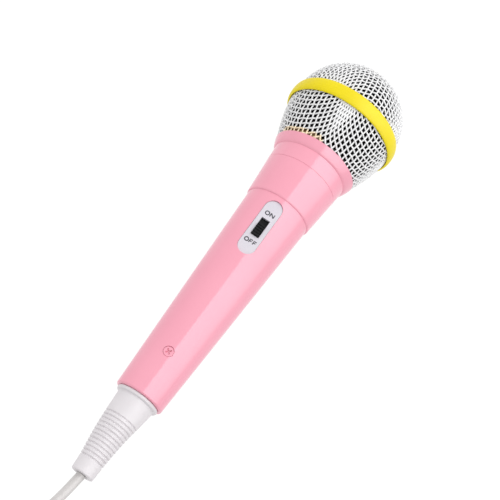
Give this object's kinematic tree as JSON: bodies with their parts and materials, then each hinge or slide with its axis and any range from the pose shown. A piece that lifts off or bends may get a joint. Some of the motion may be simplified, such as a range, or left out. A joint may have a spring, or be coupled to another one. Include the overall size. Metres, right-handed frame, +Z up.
{
  "type": "toy microphone",
  "caption": "Hand-held toy microphone with a tapered handle, wire-mesh ball head, trim band, slide switch and a coiled cord with a jack plug.",
  "frame": {"origin": "on the surface that the microphone lies on, under the middle of its own box, cord left out", "axes": "+X from the cord end towards the mesh head, +Z up out of the surface, on the side of the switch"},
  "size_m": [0.3068, 0.0815, 0.0515],
  "materials": {
    "pink": "glossy injection-moulded pink plastic",
    "white_wire": "woven steel wire, painted white",
    "band_yellow": "soft yellow rubber",
    "black_foam": "open-cell black foam",
    "brass_metal": "brass, lightly dulled",
    "steel_metal": "zinc-plated sheet steel",
    "black_plastic": "matt black plastic",
    "plate_white": "white plastic with a lilac tint",
    "soft_white": "soft white moulded plastic",
    "cord_white": "pale grey-white PVC jacket",
    "dark_rubber": "dark grey rubber",
    "film": "thin polyester film",
    "copper": "enamelled copper wire",
    "fibre_board": "brown fibre board",
    "ferrite": "dark ferrite",
    "lead_red": "red wire insulation"
  },
  "bodies": {
    "microphone": {"handle_tube": "pink", "neck_sleeve": "pink", "head_collar": "pink", "lower_grille": "white_wire", "upper_grille": "white_wire", "grille_base_ring": "brass_metal", "grille_joint_ring": "steel_metal", "trim_band": "band_yellow", "foam_windscreen": "black_foam", "capsule_holder": "black_plastic", "shock_ring": "dark_rubber", "capsule_body": "black_plastic", "capsule_front": "steel_metal", "diaphragm": "film", "voice_coil": "copper", "pole_plate": "steel_metal", "magnet": "ferrite", "yoke": "steel_metal", "terminal_board": "fibre_board", "capsule_leads": "lead_red", "switch_bezel": "plate_white", "switch_frame": "steel_metal", "switch_base": "fibre_board", "switch_terminals": "brass_metal", "cord_leads": "lead_red", "cord_anchor": "soft_white", "handle_screw": "pink", "strain_relief": "soft_white", "cord_inner_run": "cord_white", "cord": "cord_white", "cord_coil": "cord_white", "cord_end": "cord_white", "cord_tie": "soft_white", "plug_grip": "soft_white", "plug_sleeve": "brass_metal", "plug_insulator": "black_plastic", "plug_tip": "brass_metal"},
    "switch_slider": {"switch_knob": "black_plastic", "switch_contact": "brass_metal"}
  },
  "joints": [
    {"name": "switch_slide", "type": "slide", "parent": "microphone", "child": "switch_slider", "axis": [0.989, 0, 0.1476], "range_m": [0, 0.0028]}
  ]
}
